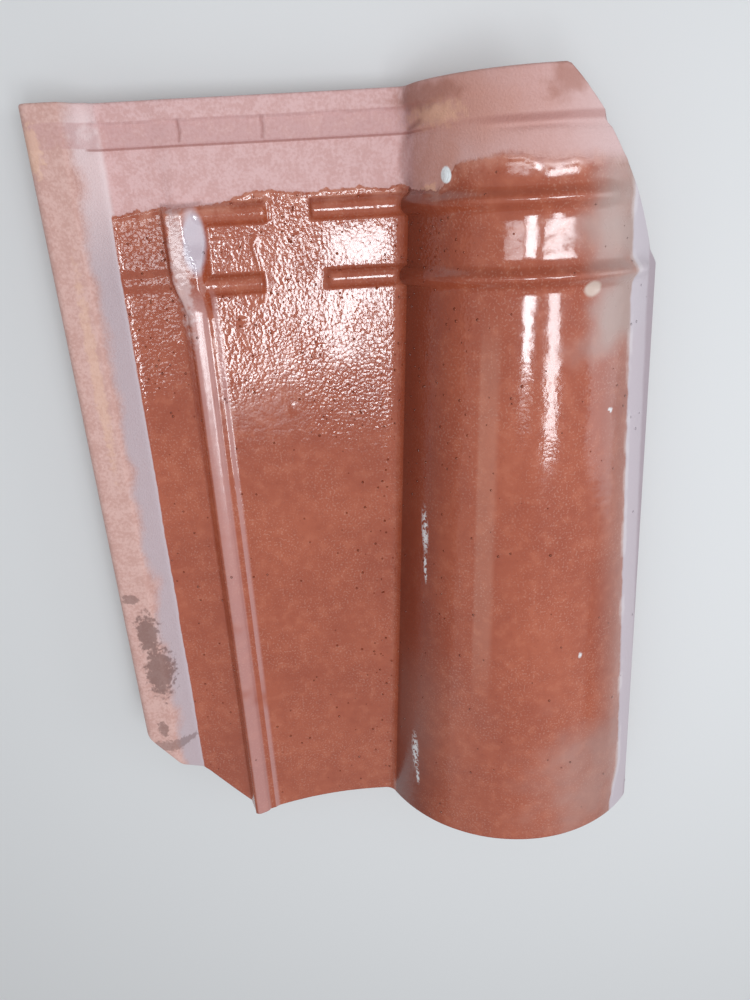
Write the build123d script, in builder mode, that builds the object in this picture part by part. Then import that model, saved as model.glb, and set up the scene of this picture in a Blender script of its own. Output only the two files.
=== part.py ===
from build123d import *
from math import atan2, cos, degrees, sin, sqrt
import os

# Interlocking clay roof tile with one roll, pressed and fired as one piece.
# It lies as on a level floor: +Y runs up the roof to the head edge, +X across to the roll,
# and +Z up out of the weather face. The origin is on the floor under the middle of its box.
# A section is measured across from the outer edge of the lip and up from the floor of the pan.

# Overall sizes, in millimetres
tile_length = 410.0
shell_thickness = 11.0

# Side lock on the left: a raised lip, its bank and the water strip
lip_width = 18.0
lip_rise = 18.0
lip_bank = 10.5
lip_round = 4.0
bank_round = 2.5
strip_width = 27.0
strip_rise_tail = 7.0
strip_rise_head = 3.0

# Ridge between the strip and the pan, and the dished pan, which falls to a level strip
# along the foot of the roll
ridge_flank = 4.0
ridge_round = 1.2
ridge_rise_tail = 16.0
ridge_rise_head = 3.6
pan_width_tail = 88.0
pan_width_head = 113.0
pan_level = 9.0
foot_round = 7.0

# The roll: a cone whose crest is level, over a chord at the pan's floor. Its free edge stops
# short of the floor, so that it lies on the side lock of the next tile.
roll_chord_tail = 160.0
roll_chord_head = 119.0
roll_height = 49.5
roll_edge_rise = 10.0
roll_edge_round = 5.0
roll_overrun = 20.0
under_round = 2.0

# Slender bead along the ridge, with a low step on the pan's side
bead_width = 9.0
bead_height = 2.4
bead_step_width = 5.0
bead_step_height = 0.9
bead_root = 6.0

# Lock block at the head end of the ridge: broad at its head end, narrowing to the bead
block_to_head = 42.0
block_length = 57.0
block_width = 23.0
block_overhang = 4.0
block_rise = 12.0
block_draft = 5.0
block_facet = 7.0

# Two half-round cross ribs of the head lock, open in the pan and bent over the roll, each a
# round of small flats
cross_rib_width = 10.0
cross_rib_height = 4.2
rib_sides = 12
first_rib_to_head = 50.0
second_rib_to_head = 82.5
left_rib_start = 7.0
first_left_rib_length = 36.0
second_left_rib_length = 32.0
first_right_rib_start = 64.5
second_right_rib_start = 70.0
hoop_to_edge = 12.0
strip_bar_to_head = 80.0
strip_bar_height = 1.4

# Stepped rim along the head edge
rim_width = 19.0
rim_height = 1.4
crown_width = 8.5
crown_height = 1.4

# Corner cuts that let four tiles meet: at the tail's lip and at the head's roll
tail_cut_width = 57.5
tail_cut_length = 67.0
head_cut_width = 52.0
head_cut_length = 75.0
head_cut_bulge = 5.0
head_cut_notch = 6.5

# Underside: a nose bar along the tail of the pan, and two nibs that hook over the batten
nose_drop = 10.0
nose_length = 12.0
nib_to_head = 48.0
nib_root_length = 21.0
nib_toe_length = 13.0
nib_face_height = 8.0
nib_flare = 3.0
nib_round = 2.0
left_nib_start = 52.0
left_nib_width = 40.0
right_nib_start = 150.0
right_nib_width = 24.0

# Levels and places worked out from the sizes above
pan_z = shell_thickness + nose_drop
tail_y = -tile_length / 2
head_y = tile_length / 2
rib_radius = (cross_rib_width**2 / 4 + cross_rib_height**2) / (2 * cross_rib_height)
rib_sink = rib_radius - cross_rib_height
layer_root = shell_thickness / 2


def roll_radius(chord):
    return (chord**2 / 4 + roll_height**2) / (2 * roll_height)


def edge_round_centre(chord):
    """Centre of the rounding along the roll's free edge, out from the crest and up from the axis."""
    radius = roll_radius(chord)
    up = radius - roll_height + roll_edge_rise + roll_edge_round
    return sqrt((radius - roll_edge_round) ** 2 - up**2), up


pan_start = lip_width + lip_bank + strip_width + ridge_flank
tail_half_roll = edge_round_centre(roll_chord_tail)[0] + roll_edge_round
tile_width = pan_start + pan_width_tail + roll_chord_tail / 2 + tail_half_roll
left_x = -tile_width / 2


class Section:
    """Cross-section of the shell at one place along the tile."""

    def __init__(self, y):
        share = (y - tail_y) / tile_length
        self.y = y
        self.plane = Plane.XZ.offset(-y)

        # The lip, the bank, the strip and the ridge
        self.lip_z = pan_z + lip_rise
        self.strip_z = pan_z + strip_rise_tail + (strip_rise_head - strip_rise_tail) * share
        self.ridge_z = pan_z + ridge_rise_tail + (ridge_rise_head - ridge_rise_tail) * share
        self.bank_x = left_x + lip_width
        self.strip_x = self.bank_x + lip_bank
        self.flank_x = self.strip_x + strip_width
        self.ridge_x = self.flank_x + ridge_flank

        # The pan, an arc that runs out level before it meets the roll
        self.foot_x = self.ridge_x + pan_width_tail + (pan_width_head - pan_width_tail) * share
        self.level_x = self.foot_x - pan_level
        arc_width = self.level_x - self.ridge_x
        arc_fall = self.ridge_z - pan_z
        self.pan_radius = (arc_width**2 + arc_fall**2) / (2 * arc_fall)

        # The roll
        chord = roll_chord_tail + (roll_chord_head - roll_chord_tail) * share
        self.radius = roll_radius(chord)
        self.crest_x = self.foot_x + chord / 2
        self.axis_z = pan_z + roll_height - self.radius
        out, up = edge_round_centre(chord)
        self.edge_x = self.crest_x + out + roll_edge_round
        self.edge_lean = atan2(out, up)

    def pan_height(self, x):
        along = max(self.level_x - x, 0)
        return pan_z + self.pan_radius - sqrt(self.pan_radius**2 - along**2)

    def on_arc(self, reach, lean):
        """Point at a distance from the roll's axis, leaning from the upright."""
        return (self.crest_x + reach * sin(lean), self.axis_z + reach * cos(lean))

    def arc_foot(self, reach, z):
        """Point where an arc about the roll's axis comes down to a level on the pan's side."""
        return (self.crest_x - sqrt(reach**2 - (z - self.axis_z) ** 2), z)


def round_corner(outline, point, radius):
    """Fillet the corner of a sketch that lies nearest to a point."""
    corner = outline.vertices().sort_by_distance((*point, 0))[0]
    fillet(corner, radius)


def field_outline(cut):
    """Outline of the lip, strip, ridge and pan, which reaches into the wall of the roll."""
    thickness = shell_thickness
    lip_corner = (left_x, cut.lip_z)
    bank_top = (cut.bank_x, cut.lip_z)
    bank_foot = (cut.strip_x, cut.strip_z)
    flank_foot = (cut.flank_x, cut.strip_z)
    ridge_top = (cut.ridge_x, cut.ridge_z)
    level_start = (cut.level_x, pan_z)
    level_end = (cut.foot_x + thickness / 2, pan_z)
    under_end = (cut.foot_x + thickness / 2, pan_z - thickness)
    under_level = (cut.level_x, pan_z - thickness)
    under_ridge = (cut.ridge_x + thickness / 2, cut.ridge_z - thickness)
    under_flank = (cut.flank_x + thickness / 2, cut.strip_z - thickness)
    under_bank = (cut.strip_x - thickness / 2, cut.strip_z - thickness)
    under_lip = (cut.bank_x - thickness / 2, cut.lip_z - thickness)
    lip_under = (left_x, cut.lip_z - thickness)
    with BuildSketch(cut.plane) as outline:
        with BuildLine():
            Polyline(lip_under, lip_corner, bank_top, bank_foot, flank_foot, ridge_top)
            TangentArc(level_start, ridge_top, tangent=(-1, 0))
            Polyline(level_start, level_end, under_end, under_level)
            TangentArc(under_level, under_ridge, tangent=(-1, 0))
            Polyline(under_ridge, under_flank, under_bank, under_lip, lip_under)
        make_face()
        for corner, radius in (
            (lip_corner, lip_round),
            (bank_top, bank_round),
            (bank_foot, bank_round),
            (flank_foot, ridge_round),
            (ridge_top, ridge_round),
            (under_bank, bank_round),
            (under_lip, bank_round),
            (lip_under, under_round),
        ):
            round_corner(outline, corner, radius)
    return outline.sketch


def layer_outline(cut, height):
    """Outline of a layer on the face, from the bank across the pan and over the roll."""
    start_x = cut.strip_x - lip_bank / 2
    root_z = pan_z - layer_root
    ridge_top = (cut.ridge_x, cut.ridge_z + height)
    level_start = (cut.level_x, pan_z + height)
    raised_reach = cut.radius + height
    root_reach = cut.radius - layer_root
    raised_foot = cut.arc_foot(raised_reach, pan_z + height)
    raised_edge = cut.on_arc(raised_reach, cut.edge_lean)
    root_edge = cut.on_arc(root_reach, cut.edge_lean)
    root_foot = cut.arc_foot(root_reach, root_z)
    with BuildSketch(cut.plane) as outline:
        with BuildLine():
            Polyline(
                (start_x, root_z),
                (start_x, cut.strip_z + height),
                (cut.flank_x, cut.strip_z + height),
                ridge_top,
            )
            TangentArc(level_start, ridge_top, tangent=(-1, 0))
            Line(level_start, raised_foot)
            ThreePointArc(raised_foot, cut.on_arc(raised_reach, 0), raised_edge)
            Line(raised_edge, root_edge)
            ThreePointArc(root_edge, cut.on_arc(root_reach, 0), root_foot)
            Line(root_foot, (start_x, root_z))
        make_face()
        round_corner(outline, raised_foot, foot_round)
    return outline.sketch


def bead_outline(cut):
    """Outline of the bead and its step, rooted in the ridge."""
    crown_x = cut.ridge_x + bead_width / 2
    side_x = cut.ridge_x + bead_width
    step_x = side_x + bead_step_width
    root_z = cut.ridge_z - bead_root
    with BuildSketch(cut.plane) as outline:
        with BuildLine():
            ThreePointArc(
                (cut.ridge_x, cut.ridge_z),
                (crown_x, cut.pan_height(crown_x) + bead_height),
                (side_x, cut.pan_height(side_x) + bead_step_height),
            )
            Polyline(
                (side_x, cut.pan_height(side_x) + bead_step_height),
                (step_x, cut.pan_height(step_x) + bead_step_height),
                (step_x, root_z),
                (cut.ridge_x, root_z),
                (cut.ridge_x, cut.ridge_z),
            )
        make_face()
    return outline.sketch


def nose_outline(cut):
    """Outline of the nose bar, which follows the underside of the pan."""
    drop = shell_thickness + nose_drop
    ridge_root = (cut.ridge_x, cut.ridge_z - layer_root)
    ridge_drop = (cut.ridge_x, cut.ridge_z - drop)
    level_root = (cut.level_x, pan_z - layer_root)
    level_drop = (cut.level_x, pan_z - drop)
    with BuildSketch(cut.plane) as outline:
        with BuildLine():
            TangentArc(level_root, ridge_root, tangent=(-1, 0))
            Line(ridge_root, ridge_drop)
            TangentArc(level_drop, ridge_drop, tangent=(-1, 0))
            Polyline(
                level_drop,
                (cut.foot_x, pan_z - drop),
                (cut.foot_x + nose_drop, pan_z - shell_thickness),
                (cut.foot_x, pan_z - layer_root),
                level_root,
            )
        make_face()
    return outline.sketch


tail = Section(tail_y)
head = Section(head_y)

# The roll: its wall at the crest is turned about a slanting axis, then cut level along both
# sides, at the underside of the pan and at the free edge
crest_z = pan_z + roll_height
crest_shift = head.crest_x - tail.crest_x
crest_plane = Plane(
    origin=(tail.crest_x, tail_y, 0),
    x_dir=(crest_shift, tile_length, 0),
    z_dir=(tile_length, -crest_shift, 0),
)
roll_axis = Axis(
    (tail.crest_x, tail_y, tail.axis_z),
    (crest_shift, tile_length, head.axis_z - tail.axis_z),
)
with BuildPart() as roll:
    with BuildSketch(crest_plane):
        with Locations((tile_length / 2, crest_z - shell_thickness / 2)):
            Rectangle(tile_length + 2 * roll_overrun, shell_thickness)
    revolve(axis=roll_axis)
    with BuildSketch(head.plane):
        with BuildLine():
            Polyline(
                (left_x, pan_z - shell_thickness),
                (tail.crest_x, pan_z - shell_thickness),
                (tail.crest_x, pan_z + roll_edge_rise),
                (-left_x + roll_overrun, pan_z + roll_edge_rise),
                (-left_x + roll_overrun, crest_z + shell_thickness),
                (left_x, crest_z + shell_thickness),
                close=True,
            )
        make_face()
    extrude(amount=tile_length, mode=Mode.INTERSECT)
    long_edges = roll.edges().filter_by(lambda edge: edge.length > tile_length / 2)
    fillet(long_edges.sort_by(Axis.X)[-1], roll_edge_round)

# The field is lofted from the tail to the head and joined to the roll at a rounded foot
with BuildPart() as shell:
    loft(sections=[field_outline(tail), field_outline(head)], ruled=True)
    add(roll.part)
    middle = Section(0)
    for x, z in (
        (middle.foot_x, pan_z),
        middle.arc_foot(middle.radius - shell_thickness, pan_z - shell_thickness),
    ):
        long_edges = shell.edges().filter_by(lambda edge: edge.length > tile_length / 2)
        fillet(long_edges.sort_by_distance((x, 0, z))[0], foot_round)

# Rim of the head, and its narrower crown along the edge
with BuildPart() as rim:
    for width, height in ((rim_width, rim_height), (crown_width, rim_height + crown_height)):
        lower = Section(head_y - width)
        loft(sections=[layer_outline(lower, height), layer_outline(head, height)], ruled=True)

# Bead along the ridge, from the tail to the lock block
block_head = Section(head_y - block_to_head)
block_tail = Section(head_y - block_to_head - block_length)
with BuildPart() as ridge_bead:
    loft(sections=[bead_outline(tail), bead_outline(block_tail)], ruled=True)

# Lock block, drafted on its head and sides, with a broad facet towards the pan
with BuildPart() as lock_block:
    left = block_head.flank_x - block_overhang
    tail_right = block_tail.ridge_x + bead_width + bead_step_width
    for z, draft, facet in ((pan_z, 0, 0), (pan_z + block_rise, block_draft, block_facet)):
        with BuildSketch(Plane.XY.offset(z)):
            with BuildLine():
                Polyline(
                    (left + draft, block_head.y - draft),
                    (left + block_width - facet, block_head.y - draft),
                    (tail_right - draft, block_tail.y),
                    (left + draft, block_tail.y),
                    close=True,
                )
            make_face()
    loft(ruled=True)

# Cross ribs in the pan, on both sides of the gap
ribs = (
    (Section(head_y - first_rib_to_head), first_left_rib_length, first_right_rib_start),
    (Section(head_y - second_rib_to_head), second_left_rib_length, second_right_rib_start),
)
with BuildPart() as pan_ribs:
    for cut, left_length, right_start in ribs:
        left_x_start = cut.ridge_x + left_rib_start
        right_x_start = cut.ridge_x + right_start
        right_length = cut.foot_x + rib_radius - right_x_start
        for start_x, length in ((left_x_start, left_length), (right_x_start, right_length)):
            with BuildSketch(Plane.YZ.offset(start_x)):
                with Locations((cut.y, cut.pan_height(start_x + length / 2) - rib_sink)):
                    RegularPolygon(rib_radius, rib_sides)
            extrude(amount=length)

# The same ribs as hoops over the roll
with BuildPart() as roll_hoops:
    for cut, _, _ in ribs:
        foot_lean = atan2(cut.foot_x - cut.crest_x, pan_z - cut.axis_z)
        edge_lean = cut.edge_lean - hoop_to_edge / cut.radius
        foot = cut.on_arc(cut.radius - rib_sink, foot_lean)
        start = Plane(
            origin=(foot[0], cut.y, foot[1]),
            x_dir=(0, 1, 0),
            z_dir=(cos(foot_lean), 0, -sin(foot_lean)),
        )
        with BuildSketch(start):
            RegularPolygon(rib_radius, rib_sides)
        revolve(
            axis=Axis((cut.crest_x, cut.y, cut.axis_z), (0, 1, 0)),
            revolution_arc=degrees(edge_lean - foot_lean),
        )

# Low bar across the water strip, beside the second rib
with BuildPart() as strip_bar:
    cut = Section(head_y - strip_bar_to_head)
    with BuildSketch(Plane.YZ.offset(cut.strip_x)):
        with BuildLine():
            Polyline(
                (cut.y - cross_rib_width / 2, cut.strip_z - layer_root),
                (cut.y - cross_rib_width / 2, cut.strip_z),
                (cut.y - cross_rib_width / 4, cut.strip_z + strip_bar_height),
                (cut.y + cross_rib_width / 4, cut.strip_z + strip_bar_height),
                (cut.y + cross_rib_width / 2, cut.strip_z),
                (cut.y + cross_rib_width / 2, cut.strip_z - layer_root),
                close=True,
            )
        make_face()
    extrude(amount=strip_width)

# Nose bar under the pan at the tail edge
with BuildPart() as nose:
    loft(sections=[nose_outline(tail), nose_outline(Section(tail_y + nose_length))], ruled=True)

# Nibs: a square face towards the tail that flares into the shell, a sloping back and a flat
# toe on the floor
with BuildPart() as nibs:
    face_y = head_y - nib_to_head
    root_z = pan_z - shell_thickness / 2
    for start, width in ((left_nib_start, left_nib_width), (right_nib_start, right_nib_width)):
        with BuildSketch(Plane.YZ.offset(left_x + start)) as side:
            with BuildLine():
                Polyline(
                    (face_y, 0),
                    (face_y + nib_toe_length, 0),
                    (face_y + nib_root_length, root_z),
                    (face_y - nib_flare, root_z),
                    (face_y, nib_face_height),
                    close=True,
                )
            make_face()
            round_corner(side, (face_y, 0), nib_round)
            round_corner(side, (face_y + nib_toe_length, 0), nib_round)
        extrude(amount=width)

# Corner cuts, straight down through the shell
with BuildPart() as corner_cuts:
    cut_height = pan_z + roll_height + rim_height + crown_height + shell_thickness
    with BuildSketch():
        with BuildLine():
            Polyline(
                (left_x, tail_y),
                (left_x + tail_cut_width, tail_y),
                (left_x, tail_y + tail_cut_length),
                close=True,
            )
        make_face()
    extrude(amount=cut_height)
    notch = Section(head_y - head_cut_length)
    cut_start = (head.edge_x - head_cut_width, head_y)
    cut_end = (notch.edge_x - head_cut_notch, notch.y)
    clear_x = head.edge_x + head_cut_width
    with BuildSketch():
        with BuildLine():
            SagittaArc(cut_start, cut_end, head_cut_bulge)
            Polyline(
                cut_end,
                (notch.edge_x, notch.y - head_cut_notch),
                (clear_x, notch.y - head_cut_notch),
                (clear_x, head_y),
                cut_start,
            )
        make_face()
    extrude(amount=cut_height)

# The fired tile is all of it as one solid
with BuildPart() as roof_tile:
    for piece in (shell, rim, ridge_bead, lock_block, pan_ribs, roll_hoops, strip_bar, nose, nibs):
        add(piece.part)
    add(corner_cuts.part, mode=Mode.SUBTRACT)

os.makedirs("parts", exist_ok=True)
roof_tile.part.label = "roof_tile"
export_step(roof_tile.part, "parts/roof_tile.step")
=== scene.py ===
from math import pi

import bmesh
import bpy
import numpy as np
from mathutils import Matrix, Vector


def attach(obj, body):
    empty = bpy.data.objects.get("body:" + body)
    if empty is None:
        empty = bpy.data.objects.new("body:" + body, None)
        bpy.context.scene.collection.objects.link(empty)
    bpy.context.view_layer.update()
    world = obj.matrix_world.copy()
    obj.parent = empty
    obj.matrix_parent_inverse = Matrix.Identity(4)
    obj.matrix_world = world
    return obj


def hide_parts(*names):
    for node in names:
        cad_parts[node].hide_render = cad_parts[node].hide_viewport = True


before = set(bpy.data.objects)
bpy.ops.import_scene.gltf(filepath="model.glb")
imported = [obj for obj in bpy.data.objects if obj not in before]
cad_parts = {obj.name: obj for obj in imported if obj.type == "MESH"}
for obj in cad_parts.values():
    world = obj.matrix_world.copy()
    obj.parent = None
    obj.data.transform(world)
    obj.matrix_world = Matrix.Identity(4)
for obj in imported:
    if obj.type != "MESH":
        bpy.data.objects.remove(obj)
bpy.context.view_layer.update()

# A fired clay roof tile with one roll, glazed on its weather face. It lies as on a level floor,
# its head edge away from the viewer. Shapes are worked out in millimetres and built in metres.

METRE = 0.001
SEED = 11

# Sizes of the pressed clay
TAIL, HEAD = -205.0, 205.0
LENGTH = HEAD - TAIL
SHELL = 11.0
LEFT = -148.309
PAN = 21.0
LIP = 39.0
LIP_ROUND, LIP_UNDER_ROUND = 4.0, 2.0
LIP_EDGE, BANK_FOOT, FLANK_FOOT, RIDGE = LEFT + 18.0, LEFT + 28.5, LEFT + 55.5, LEFT + 59.5
LEVEL_STRIP = 9.0
ROLL_RISE, ROLL_EDGE_RISE, ROLL_EDGE_ROUND, FOOT_ROUND = 49.5, 10.0, 5.0, 7.0
BEAD_WIDTH = 9.0
BLOCK_HEAD, BLOCK_TAIL, BLOCK_TOP = 163.0, 106.0, 33.0
RIB_REACH = 5.076
RIB_SINK = 0.876
RIB_ROWS = (155.0, 122.5)
BAR_ROW = 126.0
RIM, CROWN = 186.0, 196.5
NOSE_DROP = 10.0
WORN_EDGE = 1.3
TAIL_CUT_WIDTH, TAIL_CUT_LENGTH, TAIL_CUT_BOW = 57.5, 67.0, 0.10
HEAD_ARC_X, HEAD_ARC_Y, HEAD_ARC_RADIUS = -54.85, 63.7, 199.3
HEAD_ARC_START, HEAD_SLOPE_X = 130.0, 133.14

# Nibs under the head: place from the left side and width, and the profile in y and z
NIBS = ((52.0, 40.0), (150.0, 24.0))
NIB_PROFILE = ((157.0, 0.0), (170.0, 0.0), (178.0, 15.5), (154.0, 15.5), (157.0, 8.0))
NIB_WORN_EDGE = 1.6

# Marks of this one tile, as places (x, y) on its weather face
HEAD_CRACKS = (
    ((-82.2, 187.6), (-81.6, 191.0), (-82.0, 196.0)),
    ((-43.9, 187.4), (-43.4, 192.0), (-43.8, 196.0)),
)
HEAD_OVAL = (
    (27.9, 189.2), (24.0, 186.9), (21.4, 182.9), (20.3, 176.6), (20.0, 171.0), (22.4, 163.4),
)
GLAZE_RUNS = (
    ((-45.5, 161.2), (-44.0, 157.6), (-44.1, 152.2)),
    ((-53.9, 141.3), (-52.0, 132.3), (-50.6, 124.2), (-52.0, 114.1)),
)

# Drops of glaze and crumbs of clay: place x, y, half width, half length, height
GLAZE_DROPS = (
    (38.5, 165.9, 1.6, 3.0, 1.3), (36.4, 161.0, 0.9, 2.2, 0.8), (31.4, 159.6, 1.6, 1.9, 1.7),
    (29.6, 162.6, 1.1, 1.2, 1.0), (-62.5, 105.0, 1.7, 1.3, 0.8), (-41.9, 56.6, 1.4, 1.2, 0.6),
    (-97.1, 96.0, 1.6, 1.2, 0.7), (-52.3, 142.6, 1.2, 2.2, 0.6), (24.6, -4.0, 1.0, 5.0, 0.5),
    (24.2, -20.0, 0.8, 4.0, 0.4), (15.4, -150.0, 1.1, 4.5, 0.7), (14.6, -168.0, 1.2, 3.5, 0.6),
    (113.9, 58.4, 1.2, 1.2, 0.5), (105.3, -77.6, 1.0, 1.6, 0.5), (34.0, 192.0, 3.5, 2.6, 0.8),
    (38.5, 189.0, 2.6, 2.0, 0.6),
)

# White drops of glaze: place x, y, half width, half length
WHITE_DROPS = (
    (24.6, -8.0, 1.5, 13.0), (24.2, -30.0, 0.8, 9.0), (14.8, -158.0, 1.8, 13.0),
    (15.6, -176.0, 1.0, 6.0), (113.9, 58.4, 1.4, 1.4), (105.3, -77.6, 1.2, 1.8),
)

# Columns of the section that don't depend on a size
SIDE_COLUMNS, TURN_COLUMNS, FOOT_COLUMNS, EDGE_COLUMNS = 4, 4, 6, 8
FLAT_COLUMNS, INNER_COLUMNS, INNER_FOOT_COLUMNS, LIP_COLUMNS = 2, 30, 5, 2

# Grains that stand up under the glaze: how many, and their size as cones of a few sides
GRAINS_PER_SQUARE_METRE = 30000.0
GRAIN_RADIUS, GRAIN_SIDES = 0.55, 5
GRAIN_TALL, GRAIN_SUNK = 0.7, 0.25


# Small helpers for shapes

def share(y):
    return (y - TAIL) / LENGTH


def blend(a, b, part):
    return a + (b - a) * part


def ease(start, end, value):
    part = np.clip((value - start) / (end - start), 0.0, 1.0)
    return part * part * (3.0 - 2.0 * part)


def soft_max(a, b, width):
    near = np.maximum(width - np.abs(a - b), 0.0) / width
    return np.maximum(a, b) + near * near * width / 4.0


def soft_min(a, b, width):
    return -soft_max(-a, -b, width)


class Wander:
    """A slow, seeded unevenness over the clay, between about -1 and 1."""

    def __init__(self, cell, seed):
        self.cell = cell
        self.grid = np.random.default_rng(seed).uniform(-1.0, 1.0, (96, 96))

    def __call__(self, x, y):
        u, v = x / self.cell + 40.0, y / self.cell + 40.0
        i, j = np.floor(u).astype(int), np.floor(v).astype(int)
        fu, fv = u - i, v - j
        fu, fv = fu * fu * (3 - 2 * fu), fv * fv * (3 - 2 * fv)
        pick = lambda a, b: self.grid[a % 96, b % 96]
        low = blend(pick(i, j), pick(i + 1, j), fu)
        high = blend(pick(i, j + 1), pick(i + 1, j + 1), fu)
        return blend(low, high, fv)


# The section of the tile at a place along it

def strip_height(y):
    return PAN + blend(7.0, 3.0, share(y))


def ridge_height(y):
    return PAN + blend(16.0, 3.6, share(y))


def foot_place(y):
    return RIDGE + blend(88.0, 113.0, share(y))


def roll_measures(y):
    """Radius, crest and axis of the roll, and the centre of its rounded free edge."""
    chord = blend(160.0, 119.0, share(y))
    radius = (chord**2 / 4 + ROLL_RISE**2) / (2 * ROLL_RISE)
    crest = foot_place(y) + chord / 2
    axis = PAN + ROLL_RISE - radius
    up = radius - ROLL_RISE + ROLL_EDGE_RISE + ROLL_EDGE_ROUND
    out = np.sqrt((radius - ROLL_EDGE_ROUND) ** 2 - up**2)
    return radius, crest, axis, out, up


def foot_fillet(y):
    """Centre of the rounding between the pan and the roll."""
    radius, crest, axis, _, _ = roll_measures(y)
    z = PAN + FOOT_ROUND
    return crest - np.sqrt((radius + FOOT_ROUND) ** 2 - (z - axis) ** 2), z


def inner_foot(y):
    """Crest, axis and inner radius of the roll, and the centre of the rounding between its
    inside and the underside of the pan."""
    radius, crest, axis, _, _ = roll_measures(y)
    inner = radius - SHELL
    z = PAN - SHELL + FOOT_ROUND
    return crest, axis, inner, crest - np.sqrt((inner + FOOT_ROUND) ** 2 - (z - axis) ** 2), z


def pan_height(x, y):
    """The pan, dished from the ridge down to the level strip beside the roll."""
    level = foot_place(y) - LEVEL_STRIP
    width, fall = level - RIDGE, ridge_height(y) - PAN
    bend = (width**2 + fall**2) / (2 * fall)
    return PAN + bend - np.sqrt(bend**2 - np.maximum(level - x, 0.0) ** 2)


def field_height(x, y):
    """The lip, the bank, the water strip, the ridge's flank and the dished pan."""
    strip, ridge = strip_height(y), ridge_height(y)
    bank = LIP - (LIP - strip) * (x - LIP_EDGE) / (BANK_FOOT - LIP_EDGE)
    left = soft_min(LIP, bank, 2.2)
    flank = strip + (ridge - strip) * (x - FLANK_FOOT) / (RIDGE - FLANK_FOOT)
    pan = soft_min(flank, pan_height(np.maximum(x, RIDGE - 6.0), y), 1.0)
    right = np.where(x < (FLANK_FOOT + RIDGE) / 2, soft_max(strip, flank, 0.8), pan)
    return soft_max(left, right, 2.0)


def under_height(x, y):
    """Underside of the same, with the nose bar along the tail of the pan."""
    thick = SHELL / 2
    level = foot_place(y) - LEVEL_STRIP
    start = RIDGE + thick
    width, fall = level - start, ridge_height(y) - PAN
    bend = (width**2 + fall**2) / (2 * fall)
    pan = PAN - SHELL + bend - np.sqrt(bend**2 - np.clip(level - x, 0.0, width) ** 2)
    ridge, strip = ridge_height(y) - SHELL, strip_height(y) - SHELL
    flank = strip + (ridge - strip) * (x - FLANK_FOOT - thick) / (start - FLANK_FOOT - thick)
    middle = (FLANK_FOOT + RIDGE) / 2 + thick
    right = np.where(x < middle, soft_max(strip, flank, 0.8), soft_min(flank, pan, 1.0))
    left = soft_min(
        LIP - SHELL,
        LIP - SHELL - (LIP - SHELL - strip) * (x - LIP_EDGE + thick) / (BANK_FOOT - LIP_EDGE),
        2.2,
    )
    base = soft_max(left, right, 2.0)
    dish = ridge_height(y) - PAN
    dish_width = level - RIDGE
    round_below = (dish_width**2 + dish**2) / (2 * dish)
    nose = PAN - SHELL - NOSE_DROP + round_below
    nose = nose - np.sqrt(round_below**2 - np.clip(level - x, 0.0, dish_width) ** 2)
    nose = nose + NOSE_DROP * np.clip((x - foot_place(y)) / NOSE_DROP, 0.0, 1.0)
    within = ease(TAIL + 12.9, TAIL + 11.6, y) * ease(RIDGE - 0.6, RIDGE + 0.6, x)
    return blend(base, np.minimum(base, nose), within)


# Relief pressed into the weather face

def rib_round(distance):
    return np.sqrt(np.maximum(RIB_REACH**2 - distance**2, 0.0)) - RIB_SINK


def cross_ribs(x, y, over):
    """Two cross ribs: half round with cut ends in the pan, on both sides of the gap, and
    softer where they bend over the roll, on which they fade away."""
    height = np.zeros_like(x)
    rib_spans = ((36.0, 64.5, 0.62, 0.86), (32.0, 70.0, 0.86, 0.93))
    for row, (left_length, right_start, fade_start, fade_end) in zip(RIB_ROWS, rib_spans):
        start, stop, right = RIDGE + 7.0, RIDGE + 7.0 + left_length, RIDGE + right_start
        half_round = np.maximum(soft_max(rib_round(y - row), 0.0, 0.6) - 0.15, 0.0)
        bell = 4.1 * np.exp(-(((y - row) / 3.7) ** 2))
        rib = blend(half_round, bell, ease(0.02, 0.22, over))
        left_rib = rib * ease(start - 0.4, start + 0.7, x) * ease(stop + 0.4, stop - 0.9, x)
        right_rib = rib * ease(right - 0.4, right + 0.7, x) * ease(fade_end, fade_start, over)
        height = np.maximum(height, np.where(x < (stop + right) / 2, left_rib, right_rib))
    return height


def line_relief(x, y, points, height, width):
    """A thin raised line through a few points; a height below nought makes a groove."""
    nearest = np.full_like(x, 1e3)
    for (ax, ay), (bx, by) in zip(points, points[1:]):
        long_x, long_y = bx - ax, by - ay
        part = ((x - ax) * long_x + (y - ay) * long_y) / (long_x**2 + long_y**2)
        part = np.clip(part, 0.0, 1.0)
        nearest = np.minimum(nearest, np.hypot(x - ax - part * long_x, y - ay - part * long_y))
    return height * np.exp(-((nearest / width) ** 2))


def pressed_line_shades(x, y):
    """Where painted shade darkens the cracks of the head rim and the oval hollow on the roll's
    head.
    """
    dark = line_relief(x, y, HEAD_OVAL, 0.8, 1.2)
    for crack in HEAD_CRACKS:
        dark = np.maximum(dark, line_relief(x, y, crack, 1.0, 0.6))
    return dark


def drop_relief(x, y, at_x, at_y, wide, long, height):
    """A low drop of glaze or crumb of clay."""
    return height * np.exp(-(((x - at_x) / wide) ** 2) - ((y - at_y) / long) ** 2)


def small_relief(x, y):
    """Runs of glaze, crumbs of clay and pressing marks that this tile shows."""
    rise = np.zeros_like(x)
    for run in GLAZE_RUNS:
        rise += line_relief(x, y, run, 0.9, 0.8)
    for crack in HEAD_CRACKS:
        rise += line_relief(x, y, crack, -0.8, 0.6)
    rise += line_relief(x, y, HEAD_OVAL, -1.0, 1.4)
    for drop in GLAZE_DROPS:
        rise += drop_relief(x, y, *drop)
    return rise


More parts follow.
